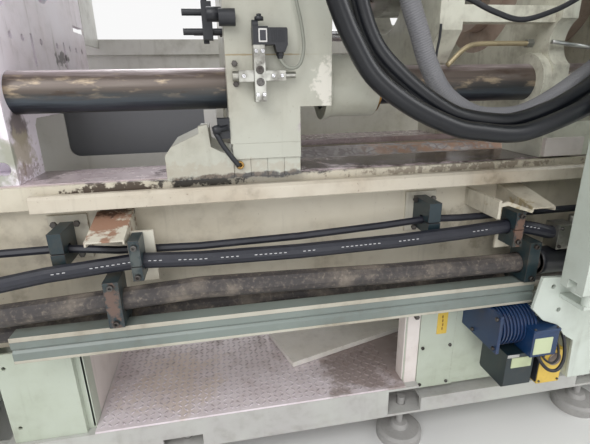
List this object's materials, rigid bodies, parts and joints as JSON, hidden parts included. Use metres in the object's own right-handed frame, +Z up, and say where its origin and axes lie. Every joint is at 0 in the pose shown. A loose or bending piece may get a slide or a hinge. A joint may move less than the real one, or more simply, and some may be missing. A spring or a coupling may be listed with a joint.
{
  "type": "injection moulding machine",
  "caption": "Horizontal plastics injection moulding machine with a hydraulic ram clamp, tie bars, a hose-lined bed, a sliding gate and an injection unit.",
  "frame": {"origin": "on the floor under the middle of the machine's box", "axes": "+X along the machine towards the clamp end, +Y away from the operator, +Z up"},
  "size_m": [4.6, 1.3, 1.9943],
  "materials": {
    "cream_paint": "aged cream enamel with oil film",
    "crossmember_paint": "aged paint",
    "way_steel": "ground and oiled, lilac sheen",
    "ledge_paint": "painted bar under grime",
    "deck_paint": "pale pinkish paint, stained",
    "panel_paint": "pale green-grey enamel",
    "tread_steel": "worn lugged plate",
    "tray_paint": "loose painted cover",
    "pad_rubber": "grey mounts",
    "rail_paint": "grey-green enamel",
    "guard_paint": "pale green enamel",
    "mint_paint": "mint-white enamel",
    "gate_paint": "painted aluminium profiles",
    "bracket_paint": "white-grey paint, heavy rust on the left arm",
    "clamp_paint": "dark teal halves with rusted faces",
    "tube_paint": "grey-brown tube, dirty",
    "hose_rubber": "black hose",
    "thin_rubber": "thin black hose",
    "wrap_plastic": "spiral wrapped, grey to brown",
    "port_steel": "zinc plated, grimy",
    "face_iron": "machined lilac-white face, painted sides",
    "tail_paint": "greenish enamel, oily",
    "bar_chrome": "chromed bar under brown grease and rust",
    "nut_steel": "dark steel",
    "cylinder_paint": "pinkish brown primer",
    "bush_bronze": "bronze",
    "ram_chrome": "hard chrome",
    "valve_steel": "zinc plated",
    "coil_plastic": "black moulded coil and plug",
    "cable_plastic": "grey cable",
    "ejector_paint": "grey paint",
    "motor_blue": "blue enamel",
    "tank_plastic": "dark reservoir",
    "box_yellow": "yellow face, dark housing",
    "window_plastic": "clear sheet",
    "barrel_steel": "heat-tinted steel",
    "heater_metal": "mica band sheet",
    "hopper_metal": "stainless sheet",
    "panel_housing": "pale grey-green",
    "button_red": "red mushroom button"
  },
  "bodies": {
    "frame": {"bed_beams": "cream_paint", "bed_crossmembers": "crossmember_paint", "way_strips": "way_steel", "ledge_rail": "ledge_paint", "bed_deck": "deck_paint", "base_frame": "panel_paint", "leg_panels": "panel_paint", "tread_plate": "tread_steel", "cover_tray": "tray_paint", "levelling_pads": "pad_rubber", "oil_tank": "panel_paint", "gate_lower_rail": "rail_paint", "gate_top_rail": "guard_paint", "hose_brackets": "bracket_paint", "hose_clamps": "clamp_paint", "return_tubes": "tube_paint", "pressure_hose": "hose_rubber", "pilot_hose": "thin_rubber", "port_blocks": "port_steel", "fixed_platen": "face_iron", "tail_frame": "tail_paint", "tie_bars": "bar_chrome", "tie_bar_nuts": "nut_steel", "main_cylinder": "cylinder_paint", "traverse_cylinders": "tail_paint", "lube_motor": "motor_blue", "lube_reservoir": "tank_plastic", "lube_box": "box_yellow", "end_bracket": "mint_paint", "part_chute": "guard_paint", "rear_guard": "guard_paint", "loop_hose_front": "hose_rubber", "loop_hose_middle": "hose_rubber", "wrapped_hose": "wrap_plastic", "thin_hose": "thin_rubber", "injection_base": "panel_paint"},
    "platen": {"moving_platen": "cream_paint", "tie_bar_bosses": "cream_paint", "platen_feet": "cream_paint", "platen_bushes": "bush_bronze", "clamp_ram": "ram_chrome", "traverse_rods": "ram_chrome", "platen_valve": "valve_steel", "valve_coil": "coil_plastic", "valve_cable": "cable_plastic", "hose_junction": "port_steel", "platen_fittings": "clamp_paint", "ejector_cylinders": "ejector_paint"},
    "ejector": {"ejector_yoke": "nut_steel"},
    "gate": {"front_gate": "gate_paint", "gate_window": "window_plastic"},
    "carriage": {"injection_carriage": "cream_paint", "barrel": "barrel_steel", "heater_bands": "heater_metal", "hopper": "hopper_metal"},
    "drive": {"screw_drive": "ejector_paint"},
    "screw": {"injection_screw": "barrel_steel"},
    "lid": {"hopper_lid": "hopper_metal"},
    "panel": {"control_panel": "panel_housing"},
    "button": {"stop_button": "button_red"}
  },
  "joints": [
    {"name": "platen_slide", "type": "slide", "parent": "frame", "child": "platen", "axis": [1, 0, 0], "range_m": [-0.24, 0.1], "deforming": ["loop_hose_front", "loop_hose_middle", "wrapped_hose", "thin_hose"]},
    {"name": "ejector_slide", "type": "slide", "parent": "platen", "child": "ejector", "axis": [-1, 0, 0], "range_m": [0, 0.05]},
    {"name": "gate_slide", "type": "slide", "parent": "frame", "child": "gate", "axis": [1, 0, 0], "range_m": [-1.12, 0]},
    {"name": "carriage_slide", "type": "slide", "parent": "frame", "child": "carriage", "axis": [1, 0, 0], "range_m": [-0.3, 0.015]},
    {"name": "injection_slide", "type": "slide", "parent": "carriage", "child": "drive", "axis": [1, 0, 0], "range_m": [-0.15, 0.04]},
    {"name": "screw_spin", "type": "hinge", "parent": "drive", "child": "screw", "pos_m": [0, 0, 1.35], "axis": [1, 0, 0], "continuous": true},
    {"name": "lid_hinge", "type": "hinge", "parent": "carriage", "child": "lid", "pos_m": [-1.26, 0.22, 1.984], "axis": [-1, 0, 0], "range_deg": [0, 110]},
    {"name": "panel_swivel", "type": "hinge", "parent": "frame", "child": "panel", "pos_m": [-0.67, -0.38, 1.3], "axis": [0, 0, 1], "range_deg": [-60, 60]},
    {"name": "stop_push", "type": "slide", "parent": "panel", "child": "button", "axis": [0, 0.9976, -0.0698], "range_m": [0, 0.006], "stiffness_N_per_m": 300, "springref_m": -0.002}
  ]
}
